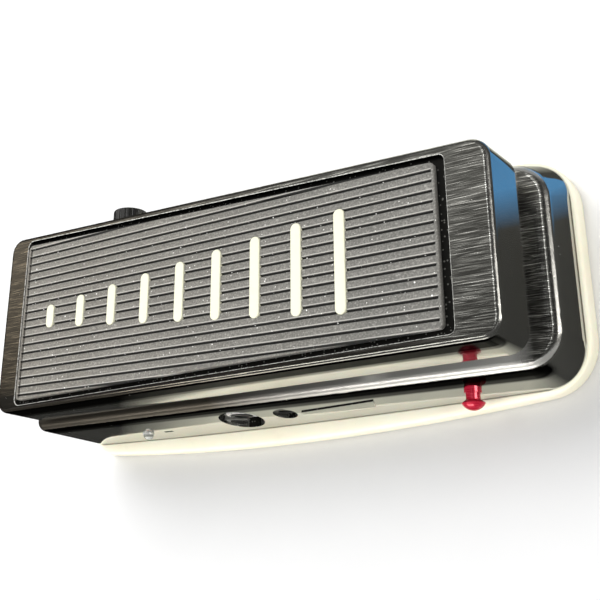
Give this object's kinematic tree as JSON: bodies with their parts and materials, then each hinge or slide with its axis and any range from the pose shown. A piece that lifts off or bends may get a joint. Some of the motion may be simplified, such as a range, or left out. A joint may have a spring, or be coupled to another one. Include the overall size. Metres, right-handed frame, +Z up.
{
  "type": "volume pedal",
  "caption": "Rocker foot pedal: hinged ribbed treadle on a cast housing and rubber boot, driving a rack, pinion and potentiometer; footswitch, jacks, push button, side knob.",
  "frame": {"origin": "centre of the boot's footprint on the floor, with the treadle at rest near toe-down", "axes": "+X towards the heel end, -Y the side with the input jack and push button, +Z up"},
  "size_m": [0.2528, 0.1205, 0.0756],
  "materials": {
    "boot_rubber": "smooth satin cream",
    "plate_steel": "flat zinc plated",
    "screw_steel": "zinc plated",
    "housing_black": "black plated casting, gloss sides, brushed top",
    "treadle_black": "black plated casting, gloss skirt, brushed top",
    "mat_rubber": "matt grey",
    "bar_rubber": "matt cream",
    "axle_steel": "ground bright",
    "nut_chrome": "bright plated",
    "bushing_plastic": "natural white",
    "bumper_rubber": "matt black",
    "switch_case": "moulded blue-black",
    "rack_plastic": "natural white",
    "bracket_steel": "zinc plated sheet",
    "pinion_brass": "machined",
    "shaft_aluminium": "machined",
    "pot_metal": "stamped can",
    "jack_black": "moulded black",
    "lamp_clear": "clear lens",
    "lever_white": "white",
    "button_red": "bright red anodised",
    "knob_black": "polished black",
    "board_green": "solder mask",
    "inductor_red": "dipped",
    "capacitor_black": "sleeved",
    "film_amber": "dipped",
    "chip_black": "moulded",
    "resistor_tan": "coated",
    "battery_case": "plain jacket"
  },
  "bodies": {
    "base": {"base_boot": "boot_rubber", "bottom_plate": "plate_steel", "bottom_screws": "screw_steel", "housing": "housing_black", "pivot_bushings": "bushing_plastic", "heel_bumpers": "bumper_rubber", "footswitch_body": "switch_case", "footswitch_washer": "nut_chrome", "footswitch_nut": "nut_chrome", "rack_guide": "bushing_plastic", "guide_screws": "screw_steel", "sweep_pot_body": "pot_metal", "sweep_pot_nut": "nut_chrome", "pot_bracket": "bracket_steel", "pot_bracket_screws": "screw_steel", "input_jack": "jack_black", "output_jack": "jack_black", "jack_washers": "nut_chrome", "jack_nuts": "nut_chrome", "dc_jack": "jack_black", "lamp": "lamp_clear", "lamp_ring": "nut_chrome", "slide_switch_body": "jack_black", "button_sleeve": "button_red", "button_switch": "switch_case", "knob_pot": "pot_metal", "blank_label": "housing_black", "circuit_board": "board_green", "board_screws": "screw_steel", "inductor": "inductor_red", "round_capacitors": "capacitor_black", "film_capacitors": "film_amber", "amplifier_chips": "chip_black", "resistors": "resistor_tan", "battery": "battery_case", "battery_snap": "jack_black", "battery_clip": "bracket_steel"},
    "treadle": {"treadle": "treadle_black", "tread_mat": "mat_rubber", "tread_bars": "bar_rubber", "pivot_axle": "axle_steel", "axle_nuts": "nut_chrome", "striker_pad": "bumper_rubber", "rack_bracket": "bracket_steel", "rack_bracket_screws": "screw_steel"},
    "rack": {"rack": "rack_plastic", "rack_pin": "axle_steel"},
    "pinion": {"pinion": "pinion_brass", "pinion_set_screw": "screw_steel", "sweep_pot_shaft": "shaft_aluminium"},
    "plunger": {"footswitch_plunger": "nut_chrome"},
    "button": {"push_button": "button_red"},
    "slider": {"slide_switch_lever": "lever_white"},
    "knob": {"side_knob": "knob_black", "knob_shaft": "shaft_aluminium"}
  },
  "joints": [
    {"name": "treadle_hinge", "type": "hinge", "parent": "base", "child": "treadle", "pos_m": [0.0485, 0, 0.0405], "axis": [0, 1, 0], "range_deg": [-0.8, 11]},
    {"name": "rack_slide", "type": "slide", "parent": "base", "child": "rack", "axis": [0, 0, 1], "range_m": [-0.0009, 0.0118]},
    {"name": "pinion_spin", "type": "hinge", "parent": "base", "child": "pinion", "pos_m": [-0.0015, 0, 0.022], "axis": [0, 1, 0], "range_deg": [-8, 97]},
    {"name": "plunger_press", "type": "slide", "parent": "base", "child": "plunger", "axis": [0, 0, 1], "range_m": [-0.0022, 0], "stiffness_N_per_m": 900},
    {"name": "button_press", "type": "slide", "parent": "base", "child": "button", "axis": [0, 1, 0], "range_m": [0, 0.002], "stiffness_N_per_m": 400},
    {"name": "slider_shift", "type": "slide", "parent": "base", "child": "slider", "axis": [1, 0, 0], "range_m": [-0.0012, 0.0012]},
    {"name": "knob_turn", "type": "hinge", "parent": "base", "child": "knob", "pos_m": [-0.0937, 0.055, 0.0236], "axis": [0, 1, 0], "range_deg": [-150, 150]}
  ],
  "couplings": [
    {"joint": "rack_slide", "follows": "treadle_hinge", "m_per_rad": 0.061},
    {"joint": "pinion_spin", "follows": "treadle_hinge", "ratio": 8.7143}
  ]
}
